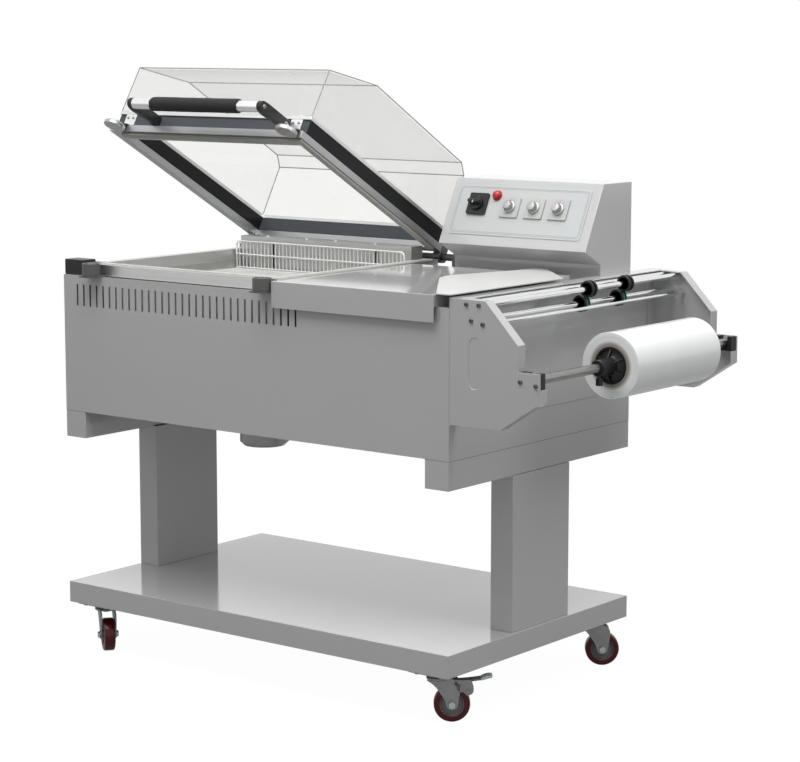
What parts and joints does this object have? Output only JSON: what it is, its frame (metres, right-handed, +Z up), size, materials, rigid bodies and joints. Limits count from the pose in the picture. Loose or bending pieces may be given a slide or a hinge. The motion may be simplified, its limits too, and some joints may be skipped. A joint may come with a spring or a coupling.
{
  "type": "hood chamber shrink wrapping machine",
  "caption": "Grey hood-type shrink wrapping machine on castors, with a clear hinged hood, wire basket, packing table, sloping control box and film roll holder.",
  "frame": {"origin": "on the floor under the middle of the whole machine", "axes": "+X to the right of the operator's side, +Y towards the back, +Z up"},
  "size_m": [1.343, 0.787, 1.3146],
  "materials": {
    "painted_sheet": "light grey gloss powder coat",
    "stainless": "plain stainless",
    "aluminium_bar": "satin extruded",
    "black_plastic": "satin black",
    "zinc_steel": "zinc plated",
    "chrome_bar": "bright plated",
    "cast_pot": "black painted iron",
    "heat_tape": "woven coated tape",
    "silicone": "soft silicone",
    "foam": "matt foam",
    "clear_sheet": "smoky clear acrylic",
    "white_plastic": "white sheet",
    "red_lens": "moulded lens",
    "cardboard": "wound paper",
    "film": "wound clear film",
    "green_rubber": "round belt cord",
    "wheel_tread": "polyurethane tread"
  },
  "bodies": {
    "root": {"base_shelf": "painted_sheet", "stand_frame": "painted_sheet", "castor_plates": "zinc_steel", "cabinet_shell": "painted_sheet", "cabinet_floor": "painted_sheet", "chamber_liner": "stainless", "chamber_rim": "aluminium_bar", "sealing_tape": "heat_tape", "basket_grate": "chrome_bar", "basket_fence": "chrome_bar", "duct_cover": "stainless", "heater_tubes": "stainless", "blower_motor": "cast_pot", "motor_cover": "painted_sheet", "electromagnets": "cast_pot", "terminal_block": "black_plastic", "hinge_bearings": "cast_pot", "packing_table": "painted_sheet", "film_guide_plate": "white_plastic", "control_box": "painted_sheet", "control_panel": "aluminium_bar", "dial_plates": "aluminium_bar", "pilot_lamp": "red_lens", "film_side_plates": "painted_sheet", "film_back_panel": "painted_sheet", "film_guide_rods": "chrome_bar", "shaft_blocks": "black_plastic", "plate_screws": "stainless"},
    "hood": {"hood_base_frame": "aluminium_bar", "hood_band": "black_plastic", "hood_clamp_strip": "aluminium_bar", "clear_cover": "clear_sheet", "armature_discs": "zinc_steel", "hood_seal_pad": "silicone", "handle_arms": "black_plastic", "handle_tube": "chrome_bar", "handle_grip": "foam", "hood_corner_brackets": "zinc_steel", "hinge_shaft": "chrome_bar"},
    "impeller": {"blower_impeller": "aluminium_bar"},
    "selector": {"switch_knob": "black_plastic"},
    "pin_wheels": {"pin_roller": "black_plastic"},
    "counter_wheels": {"counter_roller": "black_plastic", "roller_rings": "green_rubber"},
    "roll": {"film_shaft": "chrome_bar", "film_core": "cardboard", "film_roll": "film", "core_hubs": "black_plastic"},
    "pedal": {"brake_pedal": "zinc_steel"},
    "knob_1": {"dial_knob_1": "aluminium_bar"},
    "knob_2": {"dial_knob_2": "aluminium_bar"},
    "knob_3": {"dial_knob_3": "aluminium_bar"},
    "fork_front_left": {"castor_fork_front_left": "zinc_steel"},
    "wheel_front_left": {"castor_wheel_front_left": "wheel_tread"},
    "fork_front_right": {"castor_fork_front_right": "zinc_steel"},
    "wheel_front_right": {"castor_wheel_front_right": "wheel_tread"},
    "fork_rear_left": {"castor_fork_rear_left": "zinc_steel"},
    "wheel_rear_left": {"castor_wheel_rear_left": "wheel_tread"},
    "fork_rear_right": {"castor_fork_rear_right": "zinc_steel"},
    "wheel_rear_right": {"castor_wheel_rear_right": "wheel_tread"}
  },
  "joints": [
    {"name": "hood_hinge", "type": "hinge", "parent": "root", "child": "hood", "pos_m": [-0.3295, 0.232, 0.886], "axis": [-1, 0, 0], "range_deg": [-29.5, 15.5]},
    {"name": "blower_turn", "type": "hinge", "parent": "root", "child": "impeller", "pos_m": [-0.3315, -0.068, 0.65], "axis": [0, 0, 1], "continuous": true},
    {"name": "selector_turn", "type": "hinge", "parent": "root", "child": "selector", "pos_m": [0.0985, 0.15554, 1.02086], "axis": [0, 0.8963, -0.4434], "range_deg": [0, 90]},
    {"name": "pin_wheel_turn", "type": "hinge", "parent": "root", "child": "pin_wheels", "pos_m": [0.4805, 0.017, 0.866], "axis": [0, 1, 0], "continuous": true},
    {"name": "counter_wheel_turn", "type": "hinge", "parent": "root", "child": "counter_wheels", "pos_m": [0.4625, 0.017, 0.8345], "axis": [0, 1, 0], "continuous": true},
    {"name": "roll_turn", "type": "hinge", "parent": "root", "child": "roll", "pos_m": [0.6035, 0.017, 0.727], "axis": [0, 1, 0], "continuous": true},
    {"name": "dial_turn_1", "type": "hinge", "parent": "root", "child": "knob_1", "pos_m": [0.1865, 0.15556, 1.01639], "axis": [0, 0.8963, -0.4434], "range_deg": [-150, 150]},
    {"name": "dial_turn_2", "type": "hinge", "parent": "root", "child": "knob_2", "pos_m": [0.2505, 0.15556, 1.01639], "axis": [0, 0.8963, -0.4434], "range_deg": [-150, 150]},
    {"name": "dial_turn_3", "type": "hinge", "parent": "root", "child": "knob_3", "pos_m": [0.3145, 0.15556, 1.01639], "axis": [0, 0.8963, -0.4434], "range_deg": [-150, 150]},
    {"name": "swivel_front_left", "type": "hinge", "parent": "root", "child": "fork_front_left", "pos_m": [-0.5965, -0.319, 0.092], "axis": [0, 0, 1], "continuous": true},
    {"name": "roll_front_left", "type": "hinge", "parent": "fork_front_left", "child": "wheel_front_left", "pos_m": [-0.57494, -0.33525, 0.0375], "axis": [0.6018, 0.7986, 0], "continuous": true},
    {"name": "swivel_front_right", "type": "hinge", "parent": "root", "child": "fork_front_right", "pos_m": [0.3555, -0.319, 0.092], "axis": [0, 0, 1], "continuous": true},
    {"name": "roll_front_right", "type": "hinge", "parent": "fork_front_right", "child": "wheel_front_right", "pos_m": [0.37678, -0.30238, 0.0375], "axis": [-0.6157, 0.788, 0], "continuous": true},
    {"name": "swivel_rear_left", "type": "hinge", "parent": "root", "child": "fork_rear_left", "pos_m": [-0.5965, 0.238, 0.092], "axis": [0, 0, 1], "continuous": true},
    {"name": "roll_rear_left", "type": "hinge", "parent": "fork_rear_left", "child": "wheel_rear_left", "pos_m": [-0.61988, 0.2515, 0.0375], "axis": [-0.5, -0.866, 0], "continuous": true},
    {"name": "swivel_rear_right", "type": "hinge", "parent": "root", "child": "fork_rear_right", "pos_m": [0.3555, 0.238, 0.092], "axis": [0, 0, 1], "continuous": true},
    {"name": "roll_rear_right", "type": "hinge", "parent": "fork_rear_right", "child": "wheel_rear_right", "pos_m": [0.37678, 0.25462, 0.0375], "axis": [-0.6157, 0.788, 0], "continuous": true},
    {"name": "brake_press", "type": "hinge", "parent": "fork_front_right", "child": "pedal", "pos_m": [0.38229, -0.29807, 0.0817], "axis": [-0.6157, 0.788, 0], "range_deg": [0, 12]}
  ],
  "couplings": [
    {"joint": "counter_wheel_turn", "follows": "pin_wheel_turn", "ratio": -1}
  ]
}
